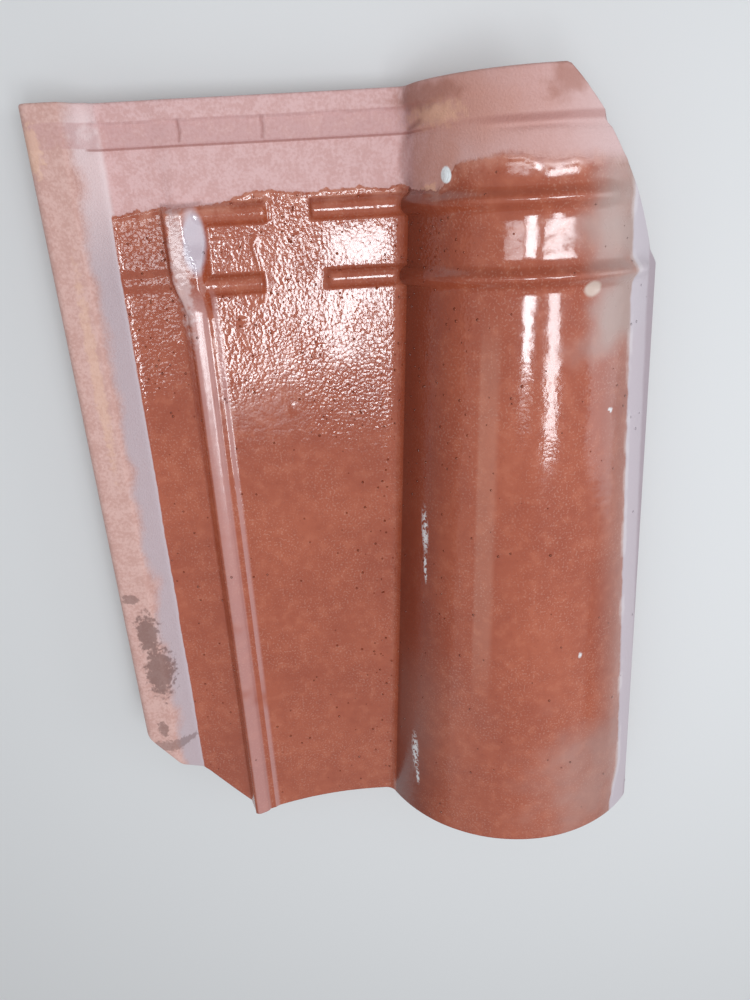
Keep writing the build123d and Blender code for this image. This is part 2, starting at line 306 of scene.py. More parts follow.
def bead(x, y):
    """Slender bead along the ridge, with its low step towards the pan."""
    across = (x - RIDGE) / BEAD_WIDTH
    round_top = 2.4 * np.sqrt(np.maximum(1.0 - np.abs(2 * across - 1.0) ** 3.2, 0.0))
    round_top = round_top * (1.1 - 0.2 * across)
    step = 0.9 * ease(0.0, 0.12, across) * (1.0 - ease(11.6, 15.2, x - RIDGE))
    height = soft_max(round_top, step, 0.5) - 0.12
    return np.maximum(height, 0.0) * (1.0 - ease(122.0, 134.0, y))


def block_facet(y):
    """Where the block's smooth slope towards the pan starts."""
    return -84.8 + 4.0 * ease(146.0, 131.0, y)


def block_height(x, y):
    """Height of the lock block: drafted sides, a level top, a smooth facet on the pan's side
    and a tail that runs out into the bead."""
    left = FLANK_FOOT - 4.0
    part = (y - BLOCK_TAIL) / (BLOCK_HEAD - BLOCK_TAIL)
    right = blend(RIDGE + 14.0, left + 23.0, part)
    rise = BLOCK_TOP - PAN
    left = left + 5.0 * ease(128.0, 108.0, y)
    sides = soft_min((x - left) * rise / 4.0, (right + 1.5 - x) * rise / 6.0, 1.5)
    ends = soft_min((BLOCK_HEAD - y) * rise / 6.0, (y - 96.0) * rise / 24.0, 2.0)
    uneven = 0.16 * Wander(4.5, 41)(x, y * 0.6) + 0.07 * Wander(1.7, 42)(x, y)
    facet = np.maximum(x - block_facet(y), 0.0)
    top = rise - 0.7 * facet + uneven * ease(1.5, 0.0, facet)
    return PAN + soft_min(soft_min(sides, ends, 2.0), top, 1.2)


def strip_bar(x, y):
    """Low bar across the water strip."""
    rise = 0.9 * ease(5.4, 1.8, np.abs(y - BAR_ROW))
    return rise * ease(BANK_FOOT - 1.0, BANK_FOOT + 2.0, x) * ease(FLANK_FOOT + 3.0, FLANK_FOOT, x)


def head_rim(x, y, over):
    """Stepped rim along the head edge; its lower step is broad and soft on the roll."""
    on_roll = ease(0.04, 0.25, over)
    wall = blend(0.45, 1.7, on_roll)
    uneven = 0.7 * Wander(7.0, 3)(x, y * 0.1)
    first = blend(1.4, 1.9, on_roll) * ease(-1.0, 1.0, (y - RIM - 0.3 * on_roll) / wall)
    second = 1.4 * ease(-0.4, 0.4, y - CROWN + uneven) * (1.0 - 0.8 * on_roll)
    groove = -0.35 * np.exp(-(((y - RIM + 0.9) / 0.7) ** 2)) * (1.0 - on_roll)
    hollow = -1.5 * np.exp(-(((y - RIM + 2.4) / 1.7) ** 2)) * ease(0.3, 0.45, over)
    return (first + second + groove + hollow) * ease(BANK_FOOT - 5.5, BANK_FOOT - 3.0, x)


# Columns around the section: places across the tile and how finely each part is divided

def spread(*stops):
    """Places from stop to stop: each stop is a place and the step that leads up to it."""
    places = [stops[0]]
    for place, step in stops[1:]:
        count = max(1, round((place - places[-1]) / step))
        places += list(np.linspace(places[-1], place, count + 1)[1:])
    return np.array(places)


field_fixed = spread(
    LEFT + LIP_ROUND, (LIP_EDGE - 2.0, 2.0), (LIP_EDGE + 2.0, 0.7), (BANK_FOOT - 2.0, 1.1),
    (BANK_FOOT + 2.0, 0.7), (FLANK_FOOT - 5.0, 2.2), (RIDGE + 15.0, 0.62),
)
pan_parts = spread(
    0.0, (0.16, 0.018), (0.36, 0.009), (0.46, 0.014), (0.60, 0.0085), (1.0, 0.022)
)[1:]
roll_parts = np.linspace(0.0, 1.0, 86)[1:]
under_fixed = spread(
    LEFT + LIP_UNDER_ROUND, (LIP_EDGE - 7.0, 3.5), (BANK_FOOT - 3.0, 1.5), (RIDGE - 5.2, 4.0),
    (RIDGE - 1.2, 1.0), (RIDGE + 0.8, 0.4), (RIDGE + 7.0, 2.0),
)[::-1]
under_parts = np.linspace(0.0, 1.0, 16)


def section(rows):
    """Places (x, z) of every column of the section, for rows of y of the same shape as the
    columns. Also tells each column's share of the way over the roll, below nought off the roll,
    and a key that pairs the columns of the weather face with those of the underside."""
    columns_x, columns_z, over_roll, pair_keys = [], [], [], []
    at = 0

    def take(count):
        nonlocal at
        part = rows[:, at:at + count]
        at += count
        return part

    def keep(x, z, roll_part, key=None):
        columns_x.append(x)
        columns_z.append(z)
        over_roll.append(np.broadcast_to(roll_part, x.shape))
        pair_keys.append(np.broadcast_to(x if key is None else key, x.shape))

    # The lip's outer side and its rounded top edge
    side = np.linspace(LIP - SHELL + LIP_UNDER_ROUND, LIP - LIP_ROUND, SIDE_COLUMNS)
    y = take(SIDE_COLUMNS)
    keep(np.full_like(y, LEFT), np.broadcast_to(side, y.shape), -1.0)
    turn = np.linspace(0.0, pi / 2, TURN_COLUMNS + 2)[1:-1]
    y = take(TURN_COLUMNS)
    keep(
        np.broadcast_to(LEFT + LIP_ROUND - LIP_ROUND * np.cos(turn), y.shape),
        np.broadcast_to(LIP - LIP_ROUND + LIP_ROUND * np.sin(turn), y.shape),
        -1.0,
    )

    # The field
    y = take(len(field_fixed))
    x = np.broadcast_to(field_fixed, y.shape)
    keep(x, field_height(x, y), -1.0)
    y = take(len(pan_parts))
    foot = foot_fillet(y)[0]
    x = blend(field_fixed[-1], foot, pan_parts)
    keep(x, field_height(x, y), -1.0)

    # The rounded foot and the roll
    y = take(FOOT_COLUMNS)
    _, crest, axis, _, _ = roll_measures(y)
    foot, foot_z = foot_fillet(y)
    lean = np.arctan2(crest - foot, foot_z - axis)
    turn = blend(0.0, lean, np.linspace(0.0, 1.0, FOOT_COLUMNS + 2)[1:-1])
    key = 990.0 + np.arange(FOOT_COLUMNS)
    keep(foot + FOOT_ROUND * np.sin(turn), foot_z - FOOT_ROUND * np.cos(turn), 0.0, key)
    y = take(len(roll_parts) + 1)
    radius, crest, axis, out, up = roll_measures(y)
    foot, foot_z = foot_fillet(y)
    start, end = -np.arctan2(crest - foot, foot_z - axis), np.arctan2(out, up)
    part = np.concatenate([[0.0], roll_parts])
    lean = blend(start, end, part)
    keep(crest + radius * np.sin(lean), axis + radius * np.cos(lean), part, 1000.0 + part)

    # The rounded free edge and its flat underside
    y = take(EDGE_COLUMNS)
    _, crest, axis, out, up = roll_measures(y)
    turn = blend(np.arctan2(out, up), pi, np.linspace(0.0, 1.0, EDGE_COLUMNS + 1)[1:])
    from_end = np.arange(EDGE_COLUMNS)
    keep(
        crest + out + ROLL_EDGE_ROUND * np.sin(turn),
        axis + up + ROLL_EDGE_ROUND * np.cos(turn),
        1.0,
        1001.1 + 0.1 * np.minimum(from_end, EDGE_COLUMNS - 1 - from_end),
    )
    y = take(FLAT_COLUMNS)
    radius, crest, axis, out, _ = roll_measures(y)
    floor = PAN + ROLL_EDGE_RISE
    inner = crest + np.sqrt((radius - SHELL) ** 2 - (floor - axis) ** 2)
    flat = blend(crest + out, inner + 0.4, np.array([0.5, 1.0]))
    keep(flat, np.full_like(y, floor), 1.0, np.array([1001.06, 1001.03]))

    # Inside of the roll, and the rounding into the underside of the pan
    y = take(INNER_COLUMNS)
    crest, axis, inner, gap, low = inner_foot(y)
    end = np.arccos((floor + 0.4 - axis) / inner)
    start = -np.arctan2(crest - gap, low - axis)
    part = np.linspace(1.0, 0.0, INNER_COLUMNS)
    lean = blend(start, end, part)
    keep(crest + inner * np.sin(lean), axis + inner * np.cos(lean), -1.0, 1000.0 + part)
    y = take(INNER_FOOT_COLUMNS)
    crest, axis, inner, gap, low = inner_foot(y)
    lean = np.arctan2(crest - gap, low - axis)
    turn = blend(lean, 0.0, np.linspace(0.0, 1.0, INNER_FOOT_COLUMNS + 2)[1:-1])
    key = 995.0 - np.arange(INNER_FOOT_COLUMNS)
    keep(gap + FOOT_ROUND * np.sin(turn), low - FOOT_ROUND * np.cos(turn), -1.0, key)

    # Underside of the field
    y = take(len(under_parts))
    gap = inner_foot(y)[3]
    x = blend(gap, under_fixed[0] + 4.0, under_parts)
    keep(x, under_height(x, y), -1.0)
    y = take(len(under_fixed))
    x = np.broadcast_to(under_fixed, y.shape)
    keep(x, under_height(x, y), -1.0)
    y = take(LIP_COLUMNS)
    turn = np.linspace(0.0, pi / 2, LIP_COLUMNS + 2)[1:-1]
    keep(
        np.broadcast_to(LEFT + LIP_UNDER_ROUND * (1.0 - np.sin(turn)), y.shape),
        np.broadcast_to(LIP - SHELL + LIP_UNDER_ROUND * (1.0 - np.cos(turn)), y.shape),
        -1.0,
    )
    return tuple(np.hstack(part) for part in (columns_x, columns_z, over_roll, pair_keys))


lip_count = SIDE_COLUMNS + TURN_COLUMNS
field_count = lip_count + len(field_fixed) + len(pan_parts)
top_count = field_count + FOOT_COLUMNS + len(roll_parts) + 1
weather_count = top_count + EDGE_COLUMNS // 2
column_count = (
    top_count + EDGE_COLUMNS + FLAT_COLUMNS + INNER_COLUMNS + INNER_FOOT_COLUMNS
    + len(under_parts) + len(under_fixed) + LIP_COLUMNS
)


# Corner cuts

def beyond_tail_cut(x, y):
    """Above nought inside the tile; the cut bows out slightly."""
    across, along = (x - LEFT) / TAIL_CUT_WIDTH, (y - TAIL) / TAIL_CUT_LENGTH
    bow = TAIL_CUT_BOW * np.clip(across, 0.0, 1.0) * np.clip(1.0 - across, 0.0, 1.0)
    return across + along - 1.0 + bow


def beyond_head_cut(x, y):
    """Above nought inside the tile: an arc from the head edge, then a short slope."""
    arc = HEAD_ARC_RADIUS - np.hypot(x - HEAD_ARC_X, y - HEAD_ARC_Y)
    slope = HEAD_SLOPE_X + HEAD_ARC_START - x - y
    return np.where(y > HEAD_ARC_START, arc, slope)


def column_limits():
    """Tail and head end of each column, where the corner cuts stop it."""
    places = np.linspace(TAIL, HEAD, 1641)
    rows = np.repeat(places[:, None], column_count, axis=1)
    x = section(rows)[0]
    low, high = np.full(column_count, TAIL), np.full(column_count, HEAD)
    for limit, inside, forward in ((low, beyond_tail_cut, False), (high, beyond_head_cut, True)):
        walk = places if forward else places[::-1]
        state = inside(x, rows) if forward else inside(x, rows)[::-1]
        state[walk < 100.0 if forward else walk > 0.0] = 1.0
        out = state < 0.0
        first = np.argmax(out, axis=0)
        for column in np.nonzero(out.any(axis=0))[0]:
            row = first[column]
            a, b = state[row - 1, column], state[row, column]
            limit[column] = blend(walk[row - 1], walk[row], a / (a - b))
    return low, high


low, high = column_limits()

# Rows along the tile: close together at the worn ends and where there is relief
END_REACH = 3.4
end_steps = np.array([0.0, 0.12, 0.4, 0.8, 1.3, 2.2])
row_places = spread(
    TAIL + END_REACH, (TAIL + 11.0, 2.0), (TAIL + 13.4, 0.45), (60.0, 2.8), (104.0, 1.8),
    (112.0, 0.8), (116.0, 1.0), (129.0, 0.75), (149.0, 1.3), (165.0, 0.75), (181.0, 1.3),
    (198.0, 0.7), (HEAD - END_REACH, 1.2),
)


def column_rows():
    """Rows of y for every column: even rows that close up towards a corner cut."""
    turn_tail, turn_head = TAIL + 112.0, 92.0
    middle = np.repeat(row_places[:, None], column_count, axis=1)
    start, end = low + END_REACH, high - END_REACH
    part = (middle - TAIL - END_REACH) * (turn_tail - start) / (turn_tail - TAIL - END_REACH)
    middle = np.where(middle < turn_tail, start + part, middle)
    part = (HEAD - END_REACH - middle) * (end - turn_head) / (HEAD - END_REACH - turn_head)
    middle = np.where(middle > turn_head, end - part, middle)
    first = low[None, :] + end_steps[:, None]
    last = high[None, :] - end_steps[::-1, None]
    return np.vstack([first, middle, last])


rows_y = column_rows()
base_x, base_z, roll_part, pair_key = section(rows_y)


def outward(x, y, z):
    """Outward direction of the closed section at every place."""
    around = np.stack([np.roll(a, -1, 1) - np.roll(a, 1, 1) for a in (x, y, z)], -1)
    along = np.stack([np.gradient(a, axis=0) for a in (x, y, z)], -1)
    normal = np.cross(around, along)
    normal /= np.maximum(np.linalg.norm(normal, axis=-1, keepdims=True), 1e-9)
    return normal


def pressed_shape():
    """The tile with its relief, its uneven surface and its softened ends."""
    x, y, z = base_x.copy(), rows_y.copy(), base_z.copy()
    columns = np.arange(column_count)
    top = (columns >= lip_count) & (columns < top_count)
    field = top & (columns < field_count)
    normal = outward(x, y, z)
    over = np.maximum(roll_part, 0.0)

    rise = cross_ribs(x, y, over) + head_rim(x, y, over)
    rise += np.where(roll_part < 0.0, bead(x, y) + strip_bar(x, y), 0.0)
    rise += small_relief(x, y)
    slant = 0.8 * x + 0.6 * y, 0.8 * y - 0.6 * x
    rise += 0.10 * Wander(24.0, 5)(*slant) + 0.04 * Wander(9.0, 6)(*slant) - 0.14
    from_head, from_lip = glaze_reach(x, y)
    bulge = np.exp(-(((from_head - 1.3) / 1.1) ** 2)) * ease(-1.0, 2.0, from_lip)
    rise += 0.4 * bulge + 0.12 * ease(-0.4, 0.6, np.minimum(from_head, from_lip))
    rise += 0.42 * np.exp(-(((from_lip - 1.0) / 0.8) ** 2)) * ease(0.0, 3.0, from_head)
    rise = np.where(top[None, :], rise, 0.0)
    rise = rise * ease(LEFT + 4.0, LEFT + 10.0, x) * ease(1.0, 0.985, roll_part)
    x, z = x + rise * normal[..., 0], z + rise * normal[..., 2]
    z = np.where(field[None, :], soft_max(z, block_height(x, y), 0.8), z)

    # Worn ends: the last rows draw in towards the middle of the shell
    normal = outward(x, y, z)
    reach = np.minimum(rows_y - low, high - rows_y)
    round_off = np.maximum(WORN_EDGE - reach, 0.0)
    inset = WORN_EDGE - np.sqrt(np.maximum(WORN_EDGE**2 - round_off**2, 0.0))
    inset = np.where(reach < WORN_EDGE, inset, 0.0)
    x = np.maximum(x - inset * normal[..., 0], LEFT + 0.01)
    z = z - inset * normal[..., 2]
    return x, y, z


def glaze_reach(x, y):
    """How far a place lies inside the glazed area, in millimetres, from its ragged head edge
    and from its straight edge along the bank."""
    head_edge = 163.4 - 4.5 * ease(-48.0, -72.0, x) - 2.5 * ease(18.0, 26.0, x)
    head_edge = head_edge + 9.0 * ease(34.0, 44.0, x) + 3.0 * ease(48.0, 62.0, x)
    head_edge = head_edge - 3.4 * ease(66.0, 80.0, x)
    ragged = 1.5 * Wander(11.0, 21)(x, y * 0.3) + 0.9 * Wander(4.3, 22)(x, y * 0.6)
    from_head = head_edge - y + ragged
    from_lip = x - BANK_FOOT - 0.2 + 0.35 * Wander(17.0, 23)(x * 0.1, y)
    return from_head, from_lip


def sandiness(x, y):
    """How sandy the glaze is: calm in the pool between the ribs, on the ribs and the bead, low
    in the pan and near the crest of the roll; sandy along the head and beside the foot."""
    over = np.maximum(roll_part, 0.0)
    on_roll = over > 0.0
    pool = np.exp(-(((x + 4.0) / 22.0) ** 4) - ((y - 139.0) / 11.0) ** 4)
    patches = ease(-0.6, 0.5, Wander(14.0, 31)(x, y))
    foot = np.exp(-(((x - foot_place(y) + 5.0) / 7.0) ** 2)) * (over < 0.02)
    fade = np.where(on_roll, 20.0, blend(44.0, 18.0, ease(-45.0, -15.0, x)))
    amount = blend(0.5, 1.0, patches) * blend(0.2, 1.0, ease(fade, fade + 55.0, y)) + 0.3 * foot
    white_foot = ease(-38.0, -32.0, x) * ease(126.0, 120.0, y) * ease(62.0, 78.0, y)
    block_top = (x > FLANK_FOOT - 3.0) * (x < RIDGE + 6.0) * ease(108.0, 114.0, y)
    left_pan = ease(RIDGE + 12.0, RIDGE + 20.0, x) * ease(-32.0, -44.0, x) * (over <= 0.0)
    calm = np.maximum(np.maximum(0.88 * pool, 0.55 * white_foot), 0.72 * block_top)
    calm = np.maximum(calm, 0.45 * left_pan)
    for row in RIB_ROWS:
        ribs = (x > RIDGE + 6.0) & ((x < RIDGE + 44.0) | (x > RIDGE + 64.0))
        calm = np.maximum(calm, 0.8 * ease(6.0, 4.0, np.abs(y - row)) * ribs)
    bead_side = ease(RIDGE - 0.5, RIDGE + 1.0, x) * ease(RIDGE + 13.0, RIDGE + 11.0, x) * (y < 114)
    calm = np.maximum(calm, 0.9 * bead_side)
    facet = ease(0.0, 1.5, x - block_facet(y)) * (x < RIDGE + 12.5) * ease(124.0, 130.0, y)
    calm = np.maximum(calm, 0.95 * facet)
    on_crest = ease(0.12, 0.42, over) * blend(0.7, 0.94, ease(40.0, 95.0, y))
    calm = np.maximum(calm, np.where(on_roll, on_crest, 0.0))
    return amount * (1.0 - calm) * ease(TAIL + 1.5, TAIL + 4.0, y)


def close_end(faces, row, flip):
    """Ribbon of faces over a cut end, from the weather face's columns to the underside's."""
    start = SIDE_COLUMNS - 1
    upper = list(range(start, weather_count))
    lower = list(range(start - 1, -1, -1))
    lower += list(range(column_count - 1, weather_count - 1, -1))
    key = pair_key[row]
    i = j = 0
    while i < len(upper) - 1 or j < len(lower) - 1:
        at_end = j >= len(lower) - 1
        if at_end or (i < len(upper) - 1 and key[upper[i + 1]] <= key[lower[j + 1]]):
            face = (upper[i], upper[i + 1], lower[j])
            i += 1
        else:
            face = (upper[i], lower[j + 1], lower[j])
            j += 1
        face = tuple(row * column_count + column for column in face)
        faces.append(face[::-1] if flip else face)


shape_x, shape_y, shape_z = pressed_shape()
row_count = shape_x.shape[0]

corners = np.stack([shape_x, shape_y, shape_z], -1).reshape(-1, 3) * METRE
index = np.arange(row_count * column_count).reshape(row_count, column_count)
right = np.roll(index, -1, 1)
quads = np.stack([index[:-1], index[1:], right[1:], right[:-1]], -1).reshape(-1, 4).tolist()
close_end(quads, 0, False)
close_end(quads, row_count - 1, True)


def nib(start, width):
    """A nib under the head: square face to the tail with a flared root, worn edges."""
    shape = bmesh.new()
    left, right = LEFT + start, LEFT + start + width
    sides = [
        [shape.verts.new((x * METRE, y * METRE, z * METRE)) for y, z in NIB_PROFILE]
        for x in (left, right)
    ]
    shape.faces.new(sides[0])
    shape.faces.new(sides[1][::-1])
    for k in range(len(NIB_PROFILE)):
        turn = (k + 1) % len(NIB_PROFILE)
        shape.faces.new((sides[0][k], sides[1][k], sides[1][turn], sides[0][turn]))
    bmesh.ops.recalc_face_normals(shape, faces=shape.faces)
    bmesh.ops.bevel(
        shape, geom=shape.edges[:], offset=NIB_WORN_EDGE * METRE, segments=3, profile=0.5,
        affect="EDGES",
    )
    return shape


# The clay's mesh, with what its glaze and its colours follow noted at every corner
mesh = bpy.data.meshes.new("pressed_clay")
mesh.from_pydata(corners.tolist(), [], quads)
steps = np.hypot(np.diff(base_x, axis=1), np.diff(base_z, axis=1))
across = np.hstack([np.zeros((row_count, 1)), np.cumsum(steps, axis=1)])
from_head, from_lip = glaze_reach(shape_x, shape_y)
face_up = np.full((row_count, column_count), -4.0)
face_up[:, :weather_count] = 4.0
for name, values in (
    ("from_head_edge", from_head),
    ("from_lip_edge", from_lip),
    ("weather_face", face_up),
    ("over_roll", np.maximum(roll_part, 0.0)),
    ("sandy", sandiness(shape_x, shape_y)),
    ("across", across),
    ("pressed_line_shade", np.where(face_up > 0.0, pressed_line_shades(shape_x, shape_y), 0.0)),
):
    mesh.attributes.new(name, "FLOAT", "POINT").data.foreach_set("value", values.reshape(-1))
joined = bmesh.new()
joined.from_mesh(mesh)
for start, width in NIBS:
    part = bpy.data.meshes.new("nib")
    shape = nib(start, width)
    shape.to_mesh(part)
    shape.free()
    joined.from_mesh(part)
joined.to_mesh(mesh)
joined.free()
mesh.validate()
mesh.polygons.foreach_set("use_smooth", [True] * len(mesh.polygons))

tile = bpy.data.objects.new("glazed_roof_tile", mesh)
bpy.context.collection.objects.link(tile)


def glaze_pimples():
    """Grains that stand up under the glaze, scattered over the glazed area."""
    tree = bpy.data.node_groups.new("glaze_pimples", "GeometryNodeTree")
    tree.interface.new_socket("Geometry", in_out="INPUT", socket_type="NodeSocketGeometry")
    for name, kind, value in (
        ("Grains per square metre", "NodeSocketFloat", GRAINS_PER_SQUARE_METRE),
        ("Grain radius", "NodeSocketFloat", GRAIN_RADIUS * METRE),
        ("Seed", "NodeSocketInt", SEED),
        ("Finish", "NodeSocketMaterial", None),
    ):
        socket = tree.interface.new_socket(name, in_out="INPUT", socket_type=kind)
        if value is not None:
            socket.default_value = value
    tree.interface.new_socket("Geometry", in_out="OUTPUT", socket_type="NodeSocketGeometry")

    def add(kind, settings=(), **links):
        made = tree.nodes.new(kind)
        for name, value in dict(settings).items():
            setattr(made, name, value)
        for name, value in links.items():
            socket = made.inputs[int(name[1:]) if name[1:].isdigit() else name]
            if isinstance(value, bpy.types.NodeSocket):
                tree.links.new(value, socket)
            else:
                socket.default_value = value
        return made

    given = tree.nodes.new("NodeGroupInput").outputs
    result = tree.nodes.new("NodeGroupOutput").inputs

    def noted(name):
        return add("GeometryNodeInputNamedAttribute", {"data_type": "FLOAT"}, Name=name).outputs[0]

    def maths(operation, first, second):
        return add("ShaderNodeMath", {"operation": operation}, _0=first, _1=second).outputs[0]

    edge = maths("MINIMUM", noted("from_head_edge"), noted("from_lip_edge"))
    inside = maths("GREATER_THAN", maths("MINIMUM", edge, noted("weather_face")), 1.0)
    sandy = maths("MULTIPLY", noted("sandy"), inside)
    points = add(
        "GeometryNodeDistributePointsOnFaces", (), Mesh=given["Geometry"],
        Density=maths("MULTIPLY", sandy, given["Grains per square metre"]), Seed=given["Seed"],
    )
    grain_shape = add(
        "GeometryNodeMeshCone", {"fill_type": "NGON"},
        Vertices=GRAIN_SIDES, _1=1, _2=1, _3=0.0, _4=given["Grain radius"],
        Depth=maths("MULTIPLY", given["Grain radius"], GRAIN_TALL),
    )
    lowered = add(
        "ShaderNodeCombineXYZ", (), _2=maths("MULTIPLY", given["Grain radius"], -GRAIN_SUNK)
    )
    sunk = add(
        "GeometryNodeTransform", (),
        Geometry=grain_shape.outputs["Mesh"], Translation=lowered.outputs[0],
    )
    smooth = add("GeometryNodeSetShadeSmooth", (), Geometry=sunk.outputs[0])
    sizes = add("FunctionNodeRandomValue", {"data_type": "FLOAT"}, _2=0.5, _3=1.5)
    placed = add(
        "GeometryNodeInstanceOnPoints", (),
        Points=points.outputs["Points"], Instance=smooth.outputs[0],
        Rotation=points.outputs["Rotation"], Scale=sizes.outputs[1],
    )
    real = add("GeometryNodeRealizeInstances", (), Geometry=placed.outputs[0])
    both = tree.nodes.new("GeometryNodeJoinGeometry")
    tree.links.new(given["Geometry"], both.inputs[0])
    tree.links.new(real.outputs[0], both.inputs[0])
    coloured = add(
        "GeometryNodeSetMaterial", (), Geometry=both.outputs[0], Material=given["Finish"]
    )
    tree.links.new(coloured.outputs[0], result[0])
    return tree


# Finish of the clay

class Tone:
    """A value or a colour in the clay's finish. Sums on values add their Math nodes. Colours and
    places are mixed and moved by nodes of their own."""

    tree = None

    def __init__(self, socket):
        self.socket = socket

    @classmethod
    def node(cls, kind, settings=(), sockets=(), output=0):
        made = cls.tree.nodes.new("ShaderNode" + kind)
        for name, value in dict(settings).items():
            setattr(made, name, value)
        for name, value in dict(sockets).items():
            if isinstance(value, Tone):
                cls.tree.links.new(value.socket, made.inputs[name])
            else:
                made.inputs[name].default_value = value
        return cls(made.outputs[output])

    @classmethod
    def maths(cls, operation, *values):
        return cls.node("Math", {"operation": operation}, dict(enumerate(values)))

    def __add__(self, other):
        return self.maths("ADD", self, other)

    def __sub__(self, other):
        return self.maths("SUBTRACT", self, other)

    def __rsub__(self, other):
        return self.maths("SUBTRACT", other, self)

    def __mul__(self, other):
        return self.maths("MULTIPLY", self, other)

    def __truediv__(self, other):
        return self.maths("DIVIDE", self, other)

    def __pow__(self, other):
        return self.maths("POWER", self, other)

    __radd__ = __add__
    __rmul__ = __mul__

    def least(self, other):
        return self.maths("MINIMUM", self, other)

    def most(self, other):
        return self.maths("MAXIMUM", self, other)

    def size(self):
        return self.maths("ABSOLUTE", self)

    def from_to(self, start, end):
        """Nought below start, one above end, eased between them."""
        return self.node(
            "MapRange", {"interpolation_type": "SMOOTHSTEP"},
            {"Value": self, "From Min": start, "From Max": end},
        )

    def over_value(self, below, above):
        """This value as the share of the value above over the value below."""
        return self.node("Mix", {"data_type": "FLOAT"}, {0: self, 2: below, 3: above})

    def over(self, below, above):
        """This value as the share of the colour above over the colour below."""
        return self.node(
            "Mix", {"data_type": "RGBA"}, {0: self, 6: below, 7: above}, output=2
        )


def colour(red, green, blue):
    """A colour as it is seen on a screen, from 0 to 255, as the linear one that a shader takes."""
    parts = (v / 255 for v in (red, green, blue))
    return (*(p / 12.92 if p < 0.04045 else ((p + 0.055) / 1.055) ** 2.4 for p in parts), 1.0)


# Colours of the glaze
GLAZE_DEEP, GLAZE_WARM = colour(151, 70, 45), colour(163, 81, 54)
GLAZE_LIGHT, GLAZE_DARK = colour(182, 104, 76), colour(142, 60, 36)
IRON_SPECK, GLINT_PAINT = colour(92, 34, 22), colour(226, 190, 170)
REFLECTION_STREAK_PAINT, THIN_GLAZE_SHEEN = colour(220, 180, 160), colour(206, 146, 126)
BEAD_SHEEN_PAINT, BLOCK_GLINT_PAINT, FACET_REFLECTION_PAINT = (
    colour(196, 154, 152), colour(226, 208, 208), colour(206, 208, 222)
)
FOOT_SHADE_PAINT, HAZE_SHEEN_GREY, SPOT_CREAM = colour(98, 34, 18), colour(170, 154, 148), colour(206, 188, 176)
WHITE_GLAZE = colour(226, 230, 232)
GLAZE_IOR = 1.7

# Colours of the bare clay and of its marks
BAND_DEEP, BAND_PALE = colour(198, 154, 150), colour(210, 171, 169)
LIP_DEEP, LIP_PALE, LIP_PEACH = colour(192, 148, 138), colour(206, 166, 157), colour(220, 178, 150)
BANK_SHEEN_GREY, BANK_SHEEN_WHITE = colour(184, 172, 178), colour(220, 200, 200)
RIM_SHADE_PAINT, RIM_STRIP, ROLL_RIM_SHADE_PAINT = colour(146, 84, 74), colour(182, 134, 132), colour(156, 98, 90)
ROLL_HEAD, ROLL_HEAD_SHEEN_PALE = colour(188, 142, 134), colour(206, 182, 182)
TAN, PEACH, BROWN = colour(182, 116, 92), colour(214, 164, 134), colour(150, 92, 74)
PRESSED_LINE_SHADE, STAIN = colour(138, 82, 74), colour(104, 72, 66)
EDGE_SHEEN_GREY, EDGE_HIGHLIGHT_PAINT, EDGE_SHADE_PAINT = (
    colour(190, 182, 190), colour(222, 214, 214), colour(150, 130, 138)
)
FIRED_DEEP, FIRED_PALE = colour(186, 120, 98), colour(204, 142, 118)

clay = bpy.data.materials.new("glazed_clay")
clay.use_nodes = True
Tone.tree = clay.node_tree
finish = clay.node_tree.nodes["Principled BSDF"]

# Places on the tile in millimetres, from the object's own coordinates
metres = Tone.node("TexCoord", output=3)
place = Tone.node("VectorMath", {"operation": "SCALE"}, {0: metres, "Scale": 1000.0})
axes = Tone.node("SeparateXYZ", (), {0: place})
x_place, y_place = (Tone(axes.socket.node.outputs[k]) for k in range(2))


def noted(name):
    """What the clay's mesh notes at each corner under a name."""
    return Tone.node("Attribute", {"attribute_name": name}, output=2)


# Patterns lie on the skin: its width is measured round the section, its length along the tile
skin = Tone.node("CombineXYZ", (), {0: noted("across"), 1: y_place})


def grain(size, detail=1.0, rough=0.5, shift=0.0):
    """Noise with grains of a size in millimetres."""
    moved = Tone.node("VectorMath", {"operation": "ADD"}, {0: skin, 1: (shift, shift * 3.0, 0.0)})
    return Tone.node(
        "TexNoise", {"noise_dimensions": "2D"},
        {"Vector": moved, "Scale": 1.0 / size, "Detail": detail, "Roughness": rough},
    )


def pores(size, shift=0.0):
    """Distance from the nearest of scattered points, a size in millimetres apart."""
    moved = Tone.node("VectorMath", {"operation": "ADD"}, {0: skin, 1: (shift, shift, 0.0)})
    return Tone.node(
        "TexVoronoi", {"voronoi_dimensions": "2D"}, {"Vector": moved, "Scale": 1.0 / size}
    )


def patch(x, y, wide, long, ragged, soft=0.35):
    """An oval mark on the face, with a ragged outline."""
    across, along = (x_place - x) / wide, (y_place - y) / long
    away = (across * across + along * along) ** 0.5
    return (away + (ragged - 0.5) * 1.6).from_to(1.0 + soft / 2, 1.0 - soft / 2)


coarse, medium, fine = grain(26.0, 2.0), grain(7.0, 2.0, 0.55), grain(1.6, 1.0, 0.6)
blotches = grain(58.0, 3.0, 0.6, shift=31.0)
crumbs = grain(3.4, 2.0, 0.65, shift=23.0)

from_head_edge, from_lip_edge = noted("from_head_edge"), noted("from_lip_edge")
face_up, over_roll = noted("weather_face"), noted("over_roll")
past_ridge = x_place - RIDGE

# Where the glaze lies: ragged along the head, straight along the bank
ragged_head = from_head_edge + (grain(2.6, 2.0, 0.6) - 0.5) * 2.6
straight_lip = from_lip_edge + (medium - 0.5) * 0.8
soft_edge = 0.35 + over_roll.from_to(0.2, 0.6) * 4.5
glazed = (ragged_head.least(straight_lip).least(face_up) / soft_edge).from_to(-1.0, 1.0)
